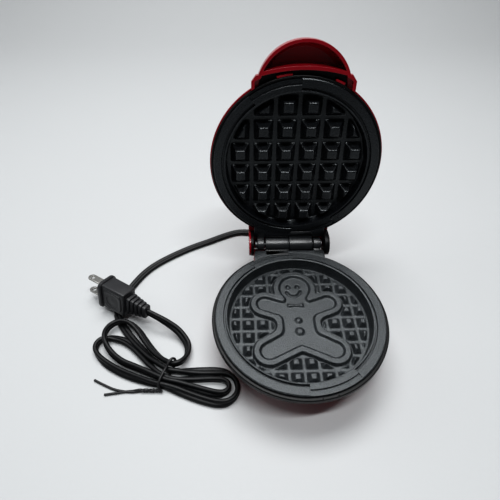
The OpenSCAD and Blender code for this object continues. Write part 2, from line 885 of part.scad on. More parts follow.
module twist_tie() {
    waist_turn = atan2(hank_parts[1][1] - waist_end[1], hank_parts[1][0] - waist_end[0]);
    color([0.05, 0.05, 0.05]) {
        translate([-96, -56.2, 5.4]) rotate([0, 0, waist_turn]) rotate([90, 0, 90])
            linear_extrude(1.8, center = true) difference() {
                rounded_rect(waist_w + 1.8, 10.6, 2);
                rounded_rect(waist_w - 0.2, 8.8, 1);
            }
        tube([[-99, -67.5, 2], [-105, -67, 1.4], [-113, -66, 1.4]], 2.6, 1.8);
        tube([[-112, -66, 1.4], [-122, -66.5, 1.2], [-130, -67.3, 1.1],
            [-138, -68.5, 1.1]], 1.7, 1.7);
        tube([[-112, -66.2, 1.6], [-122, -66, 1.6], [-132, -64.8, 1.3],
            [-141, -61.8, 1.1], [-148, -58.5, 1.1]], 1.7, 1.7);
    }
}

base_shell();
base_rim_ring();
lower_plate();
lower_element();
lower_heat_shield();
lower_shield_screws();
lower_flange_screws();
bottom_cover();
cover_screws();
rubber_feet();
hinge_pin();
pin_retainer();
thermostat();
thermostat_clip();
thermal_fuse();
wire_connectors();
base_wiring();
cord_grommet();
cord_clamp();
clamp_screws();
lid_shell();
lid_frame();
upper_plate();
upper_element();
upper_heat_shield();
upper_shield_screws();
upper_flange_screws();
indicator_lens();
indicator_lamp();
lid_wiring();
cord_lead();
cord_hank();
cord_tail();
plug_body();
plug_blades();
twist_tie();
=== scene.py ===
import json
import math
from contextlib import contextmanager

import bmesh
import bpy
import numpy as np
from mathutils import Matrix, Vector


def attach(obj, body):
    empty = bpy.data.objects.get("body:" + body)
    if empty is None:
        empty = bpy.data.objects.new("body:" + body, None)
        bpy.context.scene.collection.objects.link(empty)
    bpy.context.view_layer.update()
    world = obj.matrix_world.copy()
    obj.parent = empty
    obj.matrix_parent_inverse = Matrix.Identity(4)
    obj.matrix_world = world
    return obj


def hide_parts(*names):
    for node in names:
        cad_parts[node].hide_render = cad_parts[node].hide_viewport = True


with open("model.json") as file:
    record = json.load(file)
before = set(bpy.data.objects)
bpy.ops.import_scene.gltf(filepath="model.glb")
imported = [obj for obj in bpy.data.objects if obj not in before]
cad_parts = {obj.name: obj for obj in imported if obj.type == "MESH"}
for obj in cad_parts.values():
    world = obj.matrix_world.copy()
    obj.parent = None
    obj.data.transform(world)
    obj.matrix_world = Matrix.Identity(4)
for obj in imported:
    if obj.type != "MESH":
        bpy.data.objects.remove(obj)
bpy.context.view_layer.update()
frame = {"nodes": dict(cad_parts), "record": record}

# The waffle maker's looks. The two baking plates, the black caps over the hinge ears (painted
# shade), the lead with its tie and the plug are modelled here, in millimetres. Every other CAD
# node keeps its own shape and gets its finish.

MM = 0.001                  # metres in a millimetre
PLATE_Y = -28.5             # middle of the base plate
PARTING_Z = 38.0            # height of the plane where the closed halves meet
HINGE_Y = 69.0              # from a plate's middle back to the hinge axis
HINGE_LEFT = 1.6            # the middle of the hinge stands this far left of the plates' middle
OPEN = math.radians(99.6)   # how far the lid stands open at rest

# Placement of the two halves: both are drawn with the plate's middle at the origin and z as the
# depth away from the parting plane.
BASE_M = Matrix.Translation((0, PLATE_Y, PARTING_Z)) @ Matrix.Rotation(math.pi, 4, "Y")
LID_M = (Matrix.Translation((0, PLATE_Y + HINGE_Y, PARTING_Z)) @ Matrix.Rotation(-OPEN, 4, "X")
         @ Matrix.Translation((0, -HINGE_Y, 0)))


# ---------- camera ----------

CAMERA_AT = (-40.93, -187.37, 266.8)
CAMERA_YAW = 1.88           # degrees, from straight ahead towards the right
CAMERA_PITCH = 45.89        # degrees below level
CAMERA_ROLL = 0.434         # degrees
SENSOR_WIDTH = 36
FOCAL_LENGTH = 28.03


def link(obj):
    """Puts a new object in the scene."""
    bpy.context.scene.collection.objects.link(obj)
    return obj


def add_camera():
    yaw, pitch, roll = (math.radians(a) for a in (CAMERA_YAW, CAMERA_PITCH, CAMERA_ROLL))
    forward = Vector((math.sin(yaw) * math.cos(pitch), math.cos(yaw) * math.cos(pitch),
                      -math.sin(pitch)))
    right = Vector((math.cos(yaw), -math.sin(yaw), 0))
    up = right.cross(forward)
    x_axis = right * math.cos(roll) + up * math.sin(roll)
    y_axis = up * math.cos(roll) - right * math.sin(roll)
    place = Matrix((x_axis, y_axis, -forward)).transposed().to_4x4()
    place.translation = Vector(CAMERA_AT) * MM
    data = bpy.data.cameras.new("camera")
    data.sensor_width = SENSOR_WIDTH
    data.lens = FOCAL_LENGTH
    data.clip_start = 0.01
    data.clip_end = 20
    camera = link(bpy.data.objects.new("camera", data))
    camera.matrix_world = place
    bpy.context.scene.camera = camera


# ---------- mesh helpers ----------

SHARP = 40                  # degrees; sharper edges than this are rounded and kept crisp


def new_object(name, verts, faces, place=None, smooth=True):
    """A mesh object from points in millimetres, moved by a placement in millimetres."""
    verts = np.asarray(verts, float)
    if place is not None:
        move = np.array(place)
        verts = verts @ move[:3, :3].T + move[:3, 3]
    mesh = bpy.data.meshes.new(name)
    mesh.from_pydata((verts * MM).tolist(), [], faces)
    mesh.validate()
    mesh.update()
    mesh.polygons.foreach_set("use_smooth", [smooth] * len(mesh.polygons))
    return link(bpy.data.objects.new(name, mesh))


@contextmanager
def edited(obj):
    """The object's mesh as a bmesh, which is written back at the end."""
    bm = bmesh.new()
    bm.from_mesh(obj.data)
    yield bm
    bm.to_mesh(obj.data)
    bm.free()


def fix_normals(obj):
    with edited(obj) as bm:
        bmesh.ops.recalc_face_normals(bm, faces=bm.faces)


def sharpen(obj, degrees=SHARP):
    """Smooth shading that keeps edges sharper than the angle."""
    limit = math.radians(degrees)
    with edited(obj) as bm:
        for edge in bm.edges:
            if len(edge.link_faces) == 2:
                edge.smooth = edge.calc_face_angle(0) < limit
        for face in bm.faces:
            face.smooth = True


def soften(obj, width, segments):
    """Rounds the sharp edges to the width, and shades the rest smooth."""
    bevel = obj.modifiers.new("bevel", "BEVEL")
    bevel.width = width * MM
    bevel.segments = segments
    bevel.limit_method = "ANGLE"
    bevel.angle_limit = math.radians(SHARP)
    graph = bpy.context.evaluated_depsgraph_get()
    mesh = bpy.data.meshes.new_from_object(obj.evaluated_get(graph))
    obj.modifiers.clear()
    obj.data = mesh
    sharpen(obj)


def join(name, objs):
    """One object from several, which are removed."""
    bm = bmesh.new()
    for obj in objs:
        bm.from_mesh(obj.data)
    mesh = bpy.data.meshes.new(name)
    bm.to_mesh(mesh)
    bm.free()
    for obj in objs:
        bpy.data.objects.remove(obj)
    return link(bpy.data.objects.new(name, mesh))


def arc(radius, start, end, steps, middle=(0, 0)):
    """Points on a circle, from one angle to the other in degrees."""
    angles = np.radians(np.linspace(start, end, steps + 1))
    return [(middle[0] + radius * math.cos(a), middle[1] + radius * math.sin(a)) for a in angles]


def circle(radius, steps, middle=(0, 0)):
    return arc(radius, 0, 360, steps, middle)[:-1]


def ring_faces(n, count):
    """Quads between successive rings of n points."""
    faces = []
    for start in range(0, (count - 1) * n, n):
        for k in range(n):
            a, b = start + k, start + (k + 1) % n
            faces.append((a, b, b + n, a + n))
    return faces


def tube_faces(n, count):
    """Quads between the rings, and a face on each end."""
    ends = [tuple(range(n - 1, -1, -1)), tuple(range((count - 1) * n, count * n))]
    return ring_faces(n, count) + ends


def prism(name, outline, low, high, place, along="x"):
    """A closed prism along x or z, with its outline in the other two axes."""
    n = len(outline)
    if along == "x":
        verts = [(end, a, b) for end in (low, high) for a, b in outline]
    else:
        verts = [(a, b, end) for end in (low, high) for a, b in outline]
    obj = new_object(name, verts, tube_faces(n, 2), place, smooth=False)
    fix_normals(obj)
    return obj


def lathe(name, profiles, place):
    """Turns profiles once round z. profiles is a list of (angle in degrees, [(r, z), ...]); all
    have the same number of points, and neighbours at one angle make a step."""
    n, count = len(profiles[0][1]), len(profiles)
    verts, faces = [], []
    for i, (angle, profile) in enumerate(profiles):
        c, s = math.cos(math.radians(angle)), math.sin(math.radians(angle))
        verts += [(r * c, r * s, z) for r, z in profile]
        a, b = i * n, (i + 1) % count * n
        faces += [(a + k, b + k, b + k + 1, a + k + 1) for k in range(n - 1)]
    obj = new_object(name, verts, faces, place)
    with edited(obj) as bm:
        bmesh.ops.remove_doubles(bm, verts=bm.verts, dist=1e-6)
        bmesh.ops.recalc_face_normals(bm, faces=bm.faces)
    return obj


# ---------- materials ----------

BUMP_DEPTH = 0.0004         # metres


def add_noise(tree, source, scale, detail):
    """A noise texture's value."""
    noise = tree.nodes.new("ShaderNodeTexNoise")
    noise.inputs["Scale"].default_value = scale
    noise.inputs["Detail"].default_value = detail
    tree.links.new(source, noise.inputs["Vector"])
    return noise.outputs["Fac"]


def add_spread(tree, value, low, high):
    """A noise value's usual range, spread over low to high."""
    spread = tree.nodes.new("ShaderNodeMapRange")
    spread.inputs["From Min"].default_value = 0.3
    spread.inputs["From Max"].default_value = 0.7
    spread.inputs["To Min"].default_value = low
    spread.inputs["To Max"].default_value = high
    tree.links.new(value, spread.inputs["Value"])
    return spread.outputs["Result"]


def add_speckle(tree, grains, dark, light, softness):
    """Colours from dark to light over the grains, in hard specks where softness is low."""
    ramp = tree.nodes.new("ShaderNodeValToRGB")
    first, last = ramp.color_ramp.elements
    first.position = 0.5 - softness / 2
    last.position = 0.5 + softness / 2
    first.color = (*dark, 1)
    last.color = (*light, 1)
    tree.links.new(grains, ramp.inputs["Fac"])
    return ramp.outputs["Color"]


def add_blotches(tree, colour, patches, amount):
    """The colour, lighter and darker in large patches."""
    mix = tree.nodes.new("ShaderNodeVectorMath")
    mix.operation = "SCALE"
    tree.links.new(colour, mix.inputs[0])
    tree.links.new(add_spread(tree, patches, 1 - amount, 1 + amount), mix.inputs["Scale"])
    return mix.outputs["Vector"]


def add_rounding(tree, radius):
    """A normal that turns smoothly over each edge, so that the edge catches the light."""
    rounding = tree.nodes.new("ShaderNodeBevel")
    rounding.samples = 6
    rounding.inputs["Radius"].default_value = radius
    return rounding.outputs["Normal"]


def add_bump(tree, height, strength, normal):
    relief = tree.nodes.new("ShaderNodeBump")
    relief.inputs["Strength"].default_value = strength
    relief.inputs["Distance"].default_value = BUMP_DEPTH
    tree.links.new(height, relief.inputs["Height"])
    if normal:
        tree.links.new(normal, relief.inputs["Normal"])
    return relief.outputs["Normal"]


def surface(name, dark, light, grain, rough, bump, bump_scale=None, metallic=0.0,
            softness=0.5, detail=4.0, coat=0.0, coat_rough=0.1, specular=0.5, tint=(1, 1, 1),
            blotch=0.0, blotch_scale=40.0, stretch=(1, 1, 1), alpha=1.0, edge=0.0):
    """A procedural finish: colour speckle, larger blotches, varied roughness, fine bump and
    rounded edges. grain and the other scales are per metre, edge is in metres."""
    material = bpy.data.materials.new(name)
    material.use_nodes = True
    tree = material.node_tree
    shader = tree.nodes["Principled BSDF"]
    plain = tree.nodes.new("ShaderNodeTexCoord").outputs["Object"]
    mapping = tree.nodes.new("ShaderNodeMapping")
    mapping.inputs["Scale"].default_value = stretch
    tree.links.new(plain, mapping.inputs["Vector"])
    stretched = mapping.outputs["Vector"]

    grains = add_noise(tree, stretched, grain, detail)
    colour = add_speckle(tree, grains, dark, light, softness)
    if blotch:
        colour = add_blotches(tree, colour, add_noise(tree, plain, blotch_scale, 2), blotch)
    tree.links.new(colour, shader.inputs["Base Color"])
    tree.links.new(add_spread(tree, grains, *rough), shader.inputs["Roughness"])

    shader.inputs["Metallic"].default_value = metallic
    shader.inputs["Coat Weight"].default_value = coat
    shader.inputs["Coat Roughness"].default_value = coat_rough
    shader.inputs["Specular IOR Level"].default_value = specular
    shader.inputs["Specular Tint"].default_value = (*tint, 1)
    shader.inputs["Alpha"].default_value = alpha

    normal = add_rounding(tree, edge) if edge else None
    height = add_noise(tree, stretched, bump_scale, 3) if bump_scale else grains
    normal = add_bump(tree, height, bump, normal)
    tree.links.new(normal, shader.inputs["Normal"])
    return material


FINISHES = {
    # The base plate's coating: dark, with fine light specks
    "plate_coating": dict(
        dark=(0.001, 0.0015, 0.002), light=(0.028, 0.032, 0.036), grain=1150,
        rough=(0.32, 0.54), bump=1.0, softness=0.2, detail=6, specular=0.8,
        tint=(0.93, 0.98, 1.0), blotch=0.1, blotch_scale=60),
    # The lid plate's coating: the base plate's coating, smoother, and painted nearly black as
    # shade for the upright lid
    "plate_coating_dark": dict(
        dark=(0.001, 0.0013, 0.002), light=(0.006, 0.007, 0.009), grain=1500,
        rough=(0.24, 0.36), bump=0.4, softness=0.3, specular=0.6,
        tint=(0.92, 0.97, 1.0), blotch=0.1, blotch_scale=60),
    # The plates' knuckles, worn a little shiny
    "knuckle": dict(
        dark=(0.004, 0.005, 0.006), light=(0.020, 0.022, 0.025), grain=1900,
        rough=(0.3, 0.4), bump=0.3, softness=0.4, specular=0.9, blotch=0.1, blotch_scale=80),
    "red_plastic": dict(
        dark=(0.265, 0.002, 0.009), light=(0.29, 0.003, 0.011), grain=700,
        rough=(0.22, 0.27), bump=0.015, bump_scale=1500, coat=0.3, coat_rough=0.08,
        softness=0.6, specular=0.4, edge=0.0006),
    "black_plastic": dict(
        dark=(0.0015, 0.0017, 0.002), light=(0.005, 0.0055, 0.006), grain=900,
        rough=(0.34, 0.48), bump=0.12, specular=0.22, edge=0.0004),
    "black_rubber": dict(
        dark=(0.008, 0.008, 0.008), light=(0.017, 0.017, 0.018), grain=1200,
        rough=(0.5, 0.65), bump=0.2),
    "cord_black": dict(
        dark=(0.002, 0.0023, 0.0027), light=(0.006, 0.0065, 0.0075), grain=900,
        rough=(0.38, 0.5), bump=0.12, specular=0.28, blotch=0.1, blotch_scale=90),
    "plug_black": dict(
        dark=(0.009, 0.0095, 0.011), light=(0.018, 0.0185, 0.021), grain=1500,
        rough=(0.40, 0.54), bump=0.2, blotch=0.08, blotch_scale=120),
    "blade_metal": dict(
        dark=(0.28, 0.275, 0.26), light=(0.40, 0.395, 0.38), grain=900,
        rough=(0.32, 0.44), bump=0.05, metallic=0.9, softness=0.6),
    "tie_black": dict(
        dark=(0.005, 0.005, 0.006), light=(0.012, 0.012, 0.013), grain=2000,
        rough=(0.36, 0.5), bump=0.1),
    "screw_steel": dict(
        dark=(0.07, 0.07, 0.073), light=(0.14, 0.14, 0.145), grain=1200,
        rough=(0.36, 0.5), bump=0.1, metallic=1.0),
    # Pressed sheet with its rolling marks along x
    "bright_sheet": dict(
        dark=(0.62, 0.62, 0.63), light=(0.78, 0.78, 0.79), grain=300,
        rough=(0.22, 0.36), bump=0.08, metallic=1.0, stretch=(1, 12, 1)),
    # Heat-tinted sheath
    "element_steel": dict(
        dark=(0.16, 0.13, 0.11), light=(0.34, 0.29, 0.25), grain=260,
        rough=(0.4, 0.55), bump=0.15, metallic=0.8, blotch=0.2),
    "ceramic_white": dict(
        dark=(0.70, 0.68, 0.60), light=(0.80, 0.78, 0.72), grain=700,
        rough=(0.45, 0.6), bump=0.1),
    "wire_white": dict(
        dark=(0.72, 0.72, 0.70), light=(0.82, 0.82, 0.80), grain=900,
        rough=(0.4, 0.55), bump=0.1),
    "amber_lens": dict(
        dark=(0.55, 0.10, 0.03), light=(0.72, 0.16, 0.05), grain=500,
        rough=(0.1, 0.2), bump=0.03, coat=0.5),
    "lamp_glass": dict(
        dark=(0.85, 0.5, 0.25), light=(0.95, 0.65, 0.35), grain=400,
        rough=(0.05, 0.12), bump=0.0, alpha=0.6),
    "floor_paper": dict(
        dark=(0.480, 0.490, 0.495), light=(0.488, 0.498, 0.503), grain=400,
        rough=(0.5, 0.62), bump=0.02, specular=0.35),
}


def make_materials():
    return {name: surface(name, **look) for name, look in FINISHES.items()}


# ---------- cord ----------

FLEX_WIDTH = 6.4
FLEX_THICK = 3.4
FLEX_GROOVE = 0.5           # depth of the groove between the two cores

# The one cord, from the base to the plug, as (x, y, height, roll): roll 0 lies flat, 90 stands
# on its edge. It runs to the tie, round the outer right loop, the low left loop, the inner
# right loop, the high left loop, and on to the plug.
LEAD = [
    (-6, 65.9, 18, 0), (-6.2, 70, 17.4, 0), (-8, 77.5, 13.5, 0), (-14, 85.5, 8.5, 0),
    (-23, 90.5, 4.5, 0), (-33, 93.3, 2.5, 0), (-43, 94, 1.8, 0), (-54, 90.5, 1.8, 0),
    (-71, 82, 1.8, 0), (-89, 73, 1.8, 0), (-105, 63, 1.8, 0), (-118, 53, 1.8, 0),
    (-127, 43, 1.8, 0), (-134, 31, 1.8, 0), (-139, 19, 1.8, 0), (-142, 8, 1.8, 0),
    (-142, -1, 1.8, 0), (-138.6, -8.4, 1.8, 0)]
LOOPS = [
    (-133.3, -16, 2.0, 10), (-126.5, -24.3, 2.2, 20), (-119, -32.3, 2.6, 35),
    (-110.3, -41, 3.4, 55), (-103.6, -46.3, 4.2, 70), (-97.9, -50.6, 5.0, 80),
    (-94.0, -53.0, 5.2, 85), (-88, -53.3, 4.6, 70), (-79.5, -53.0, 3.0, 35),
    (-70, -52.9, 2.2, 10), (-62, -53.0, 2.2, 10), (-54.7, -54.1, 2.6, 30),
    (-49, -57.4, 3.2, 65), (-45.6, -62.6, 3.4, 90), (-44.9, -68, 3.4, 90),
    (-47.2, -73.2, 3.4, 85), (-52.4, -76.5, 3.2, 65), (-59.3, -76.7, 2.8, 45),
    (-68, -74.4, 2.6, 35), (-78, -70.8, 2.6, 35), (-87.2, -67.0, 2.8, 45),
    (-94.8, -64.2, 3.4, 75), (-100.4, -62.6, 3.6, 85), (-106, -61.2, 3.4, 80),
    (-113.5, -58.6, 3.0, 60), (-122.5, -55.2, 2.8, 45), (-131.5, -51.1, 2.8, 45),
    (-140.6, -45.8, 3.0, 55), (-147.9, -39.7, 3.3, 80), (-151.6, -34.2, 3.4, 90),
    (-152, -29.6, 3.4, 90), (-149.6, -25.6, 3.3, 80), (-144.8, -23.7, 2.8, 55),
    (-138, -24.4, 2.3, 30), (-130.5, -27.2, 2.2, 20), (-122.8, -32.9, 2.3, 25),
    (-115.6, -40.2, 2.6, 40), (-109.6, -46.8, 3.2, 60), (-103.8, -52.4, 3.8, 80),
    (-98.2, -56.6, 4.2, 88), (-92, -58.6, 3.8, 75), (-84.5, -58.9, 3.2, 60),
    (-76, -58.6, 2.8, 45), (-67.5, -58.4, 2.8, 45), (-60, -58.9, 3.0, 55),
    (-54.8, -60.3, 3.3, 75), (-51.5, -63.2, 3.4, 90), (-51.2, -67.0, 3.4, 90),
    (-54.1, -69.7, 3.4, 85), (-58.4, -70.3, 3.2, 65), (-64.5, -69.1, 2.9, 50),
    (-72, -66.9, 2.9, 50),
    (-80.5, -64.2, 3.1, 60), (-88.5, -61.7, 3.5, 75), (-95.6, -60, 4.2, 85),
    (-102.5, -57, 4.6, 85), (-110.6, -53.4, 4.8, 80), (-119.4, -49.7, 5, 75),
    (-128.8, -45.7, 5.6, 75), (-136.5, -40.2, 6.6, 75), (-142.4, -33.4, 8.0, 80),
    (-145.6, -26.4, 8.6, 85), (-145.6, -19.8, 7.8, 88), (-142.6, -14.2, 6.8, 88),
    (-136.6, -11.6, 6.9, 80), (-129, -13.2, 6.6, 65), (-121.8, -19.2, 5.2, 50),
    (-116.2, -26.4, 4.4, 45), (-109.6, -34.8, 4.4, 50), (-102.8, -41.8, 5.2, 65),
    (-96.4, -46.8, 6.6, 80), (-91.6, -49.3, 7.6, 85)]
TAIL = [
    (-87.2, -48.4, 7.4, 85), (-83.9, -44.8, 6.2, 75), (-82.0, -39.4, 5.2, 60),
    (-82.4, -33, 5.0, 45), (-85.6, -27.2, 6.0, 40), (-91.0, -21.6, 8.4, 45),
    (-97.4, -17.6, 11, 60), (-103.4, -14.6, 13.2, 75), (-108.6, -12.2, 14.8, 85),
    (-114, -9.5, 15.7, 90)]


def spline(points, step):
    """A smooth curve through the points, at about equal steps."""
    p = np.array(points, float)
    ext = np.vstack([2 * p[0] - p[1], p, 2 * p[-1] - p[-2]])
    out = []
    for i in range(len(p) - 1):
        a, b, c, d = ext[i:i + 4]
        n = max(2, int(np.linalg.norm((c - b)[:3]) / step))
        for t in np.arange(n) / n:
            out.append(0.5 * (2 * b + (c - a) * t + (2 * a - 5 * b + 4 * c - d) * t * t
                              + (3 * b - a - 3 * c + d) * t ** 3))
    out.append(p[-1])
    return np.array(out)


def sweep(name, path, section, rolls=0.0):
    """A closed tube: the section's first axis lies level where the roll is 0 degrees."""
    path = np.asarray(path, float)
    section = np.asarray(section, float)
    tangents = np.gradient(path, axis=0)
    tangents /= np.linalg.norm(tangents, axis=1)[:, None]
    rolls = np.broadcast_to(np.radians(rolls), len(path))
    rings = []
    for point, tangent, roll in zip(path, tangents, rolls):
        side = np.cross(tangent, (0, 0, 1.0))
        side /= np.linalg.norm(side)
        up = np.cross(side, tangent)
        u = side * math.cos(roll) + up * math.sin(roll)
        v = up * math.cos(roll) - side * math.sin(roll)
        rings.append(point + section[:, :1] * u + section[:, 1:] * v)
    obj = new_object(name, np.vstack(rings), tube_faces(len(section), len(rings)))
    fix_normals(obj)
    return obj


def twin_section(width, thick, groove):
    """Outline of a flat two-core flex: two round cores side by side with a shallow groove."""
    r = thick / 2
    core = width / 2 - r
    shoulder, dip = r - groove * 0.35, r - groove
    half = arc(r, -82, 82, 9, (core, 0))
    half += [(core * 0.45, shoulder), (0, dip), (-core * 0.45, shoulder)]
    return half + [(-x, -y) for x, y in half]


def add_cord(mats):
    """The flex from the base to the plug, as one piece; also its path and its length."""
    route = spline(LEAD + LOOPS + TAIL, step=1.2)
    path = route[:, :3]
    cord = sweep("cord", path, twin_section(FLEX_WIDTH, FLEX_THICK, FLEX_GROOVE), route[:, 3])
    sharpen(cord, 50)
    cord.data.materials.append(mats["cord_black"])
    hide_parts("cord_lead", "cord_hank", "cord_tail")
    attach(cord, "base")
    length = float(np.linalg.norm(np.diff(path, axis=0), axis=1).sum())
    return cord, path, length


# The wire tie: one turn round the bundle, then two ends twisted together, which part into two
# loose tails
TIE = [
    (-98.0, -67.2, 1.6), (-99.6, -66.2, 3.2), (-100.2, -64.2, 5.8), (-99.4, -61.2, 7.7),
    (-97.6, -57.4, 9.0), (-95.6, -53.6, 10.2), (-93.6, -50.2, 12.2), (-91.6, -48.0, 12.6),
    (-90.2, -47.0, 10.6), (-90.0, -47.0, 7.6), (-91, -48.6, 3.6), (-93.4, -52.6, 1.0),
    (-96.4, -58.6, 0.95), (-98.4, -63.4, 1.0), (-99.8, -65.8, 1.3)]
TIE_TAILS = [
    [(-118.5, -66.0, 1.2), (-124, -66.4, 1.2), (-130, -67.2, 1.0), (-138, -68.2, 1.0)],
    [(-118.5, -66.6, 1.2), (-124, -66.2, 1.0), (-132, -64.4, 1.0), (-140, -60.9, 1.0),
     (-147.4, -57.2, 1.0)]]
TWIST_START = np.array((-99.2, -66.4, 1.7))
TWIST_END = np.array((-114.5, -66.0, 1.6))
TWIST_TURNS = 3.5
TWIST_SHARE = 54 / 59       # the share of it that is turned before the tails part
TWIST_R = 0.75              # how far each wire stands from the twist's middle
TWIST_LIFT = 0.1
TIE_BAND_R = 0.95
TIE_END_R = 0.88


def twisted_end(tail, phase):
    """The route of one of the two twisted ends, which starts its turns at the phase."""
    t = np.linspace(0, TWIST_SHARE, 10)
    turn = t * 2 * math.pi * TWIST_TURNS + phase
    core = TWIST_START + (TWIST_END - TWIST_START) * t[:, None]
    core[:, 1] += TWIST_R * np.cos(turn)
    core[:, 2] += TWIST_R * np.sin(turn) + TWIST_LIFT
    return spline(core.tolist() + tail, step=0.9)


def add_tie(mats):
    parts = [sweep("tie_band", spline(TIE, step=0.8), circle(TIE_BAND_R, 10))]
    for tail, phase in zip(TIE_TAILS, (0, math.pi)):
        parts.append(sweep("tie_end", twisted_end(tail, phase), circle(TIE_END_R, 10)))
    tie = join("wire_tie", parts)
    sharpen(tie, 50)
    tie.data.materials.append(mats["tie_black"])
    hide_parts("twist_tie")
    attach(tie, "base")
    return tie


# ---------- plug ----------

# The plug is drawn along x from the lead's end, with its blades side by side in z
PLUG_TURN = 149             # degrees round the upright
PLUG_TILT = 14              # degrees round its own length
PLUG_M = (Matrix.Translation(TAIL[-1][:3])
          @ Matrix.Rotation(math.radians(PLUG_TURN), 4, "Z")
          @ Matrix.Rotation(math.radians(PLUG_TILT), 4, "X"))
PLUG_HALF = 6.75            # half the thickness of its body where the grip panels stand
PANEL_X = 29.6
PANEL_HALF = 8.6
# Grip panel: (scale of its square outline, height), then (radius of its round dish, height)
PANEL_FRAME = [(1.0, 0.0), (0.985, 0.55), (0.93, 0.8), (0.84, 0.8), (0.8, 0.62)]
PANEL_DISH = [(6.3, 0.55), (6.0, 0.2), (4.6, -0.05), (2.4, 0.3), (0.8, 0.42)]
RIBS = 5
RIB_PITCH = 3.5
BLADE_X = 43.4              # where the blades leave the flange
BLADE_SPACING = 12.7
BLADE_THICK = 1.5
BLADE_HALF = 3.2            # half their width
BLADE_STRAIGHT = 14.6       # length up to the round end
BLADE_ROUND = 2.9           # length of the round end
BLADE_HOLE_X = 13.4
BLADE_HOLE_R = 1.5


def rounded_rect(width, height, radius):
    """Outline of a rectangle with round corners."""
    x, y = width / 2 - radius, height / 2 - radius
    outline = []
    for k, corner in enumerate(((x, y), (-x, y), (-x, -y), (x, -y))):
        outline += arc(radius, 90 * k, 90 * k + 90, 6, corner)
    return outline


def loft(name, stations, place):
    """A closed body along x through rounded rectangles (x, width, height, corner radius)."""
    rings = [[(x, y, z) for y, z in rounded_rect(w, h, r)] for x, w, h, r in stations]
    obj = new_object(name, np.vstack(rings), tube_faces(len(rings[0]), len(rings)), place)
    fix_normals(obj)
    return obj


def strain_relief():
    """A core with raised ribs, wider towards the plug's body."""
    stations = [(0, 5.4, 8.2, 1.6), (0.3, 6.2, 9.4, 1.8)]
    for i in range(RIBS):
        x = 0.6 + i * RIB_PITCH
        w, h = 7.4 + i * 0.75, 10.8 + i * 1.05
        stations += [
            (x, w - 0.4, h - 0.4, 2.0), (x + 0.3, w, h, 2.2), (x + 1.9, w + 0.2, h + 0.25, 2.2),
            (x + 2.2, w - 0.2, h - 0.2, 2.0), (x + 2.35, w - 1.8, h - 2.0, 1.6),
            (x + 3.35, w - 1.7, h - 1.8, 1.6)]
    stations += [(18.2, 10.6, 16.2, 2.2), (18.5, 11, 16.8, 2.2)]
    return loft("relief", stations, PLUG_M)


def plug_block():
    """The plug's moulded body."""
    return loft("body", [
        (18.4, 12.2, 20.6, 1.4), (18.9, 13.2, 21.6, 1.5), (19.6, 13.6, 22, 1.5),
        (30, 13.8, 22.2, 1.5), (40.4, 14, 22.6, 1.5), (41, 14, 22.6, 1.5)], PLUG_M)


def plug_flange():
    """The wider front that the blades stand in."""
    return loft("flange", [
        (40.2, 15.4, 22.4, 3.6), (40.6, 17.2, 24.2, 4.4), (41.1, 17.9, 24.9, 4.7),
        (42.6, 18, 25, 4.7), (43.2, 17.6, 24.6, 4.5), (43.5, 16.6, 23.6, 4.0)], PLUG_M)


def grip_panel(side):
    """A raised frame with round corners and a dish inside, on one wide side of the plug."""
    steps = 48
    c, s = np.array(circle(1, steps)).T
    square = PANEL_HALF * (np.abs(c) ** 5 + np.abs(s) ** 5) ** -0.2
    rings = [(square * scale, height) for scale, height in PANEL_FRAME] + PANEL_DISH
    verts = [np.column_stack((np.full(steps, PANEL_X) + r * c,
                              np.full(steps, side * (PLUG_HALF + height)), r * s))
             for r, height in rings]
    last = (len(rings) - 1) * steps
    faces = ring_faces(steps, len(rings)) + [tuple(range(last, last + steps))]
    panel = new_object("panel", np.vstack(verts), faces, PLUG_M)
    fix_normals(panel)
    return panel


def blade(side):
    """A flat blade with a round end and a round hole, on one side of the plug's middle."""
    end = [(BLADE_STRAIGHT + BLADE_ROUND * x, BLADE_HALF * y) for x, y in arc(1, -90, 90, 16)]
    outline = [(0, -BLADE_HALF)] + end + [(0, BLADE_HALF)]
    hole = circle(BLADE_HOLE_R, 24, (BLADE_HOLE_X, 0))
    bm = bmesh.new()
    edges = []
    for points in (outline, hole):
        ring = [bm.verts.new((x * MM, y * MM, 0)) for x, y in points]
        edges += [bm.edges.new(pair) for pair in zip(ring, ring[1:] + ring[:1])]
    bmesh.ops.triangle_fill(bm, use_beauty=True, edges=edges)
    extruded = bmesh.ops.extrude_face_region(bm, geom=bm.faces[:])["geom"]
    top = [v for v in extruded if isinstance(v, bmesh.types.BMVert)]
    bmesh.ops.translate(bm, verts=top, vec=(0, 0, BLADE_THICK * MM))
    bmesh.ops.recalc_face_normals(bm, faces=bm.faces)
    z = side * BLADE_SPACING / 2 - BLADE_THICK / 2
    place = PLUG_M @ Matrix.Translation((BLADE_X, 0, z))
    place.translation *= MM
    bmesh.ops.transform(bm, verts=bm.verts, matrix=place)
    mesh = bpy.data.meshes.new("blade")
    bm.to_mesh(mesh)
    bm.free()
    obj = link(bpy.data.objects.new("blade", mesh))
    soften(obj, 0.3, 2)
    return obj


def add_plug(mats):
    plug = join("plug_moulding", [
        strain_relief(), plug_block(), plug_flange(), grip_panel(-1), grip_panel(1)])
    sharpen(plug, 32)
    plug.data.materials.append(mats["plug_black"])
    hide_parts("plug_body")
    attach(plug, "base")
    return plug


def add_blades(mats):
    pair = join("plug_blade_pair", [blade(-1), blade(1)])
    pair.data.materials.append(mats["blade_metal"])
    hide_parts("plug_blades")
    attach(pair, "base")
    return pair


# ---------- plates ----------

CAVITY_R = 50.0
RIM_STEPS = 240
STEPPED = ((55, 90), (235, 270))    # sectors of the flange, in degrees, that have a step
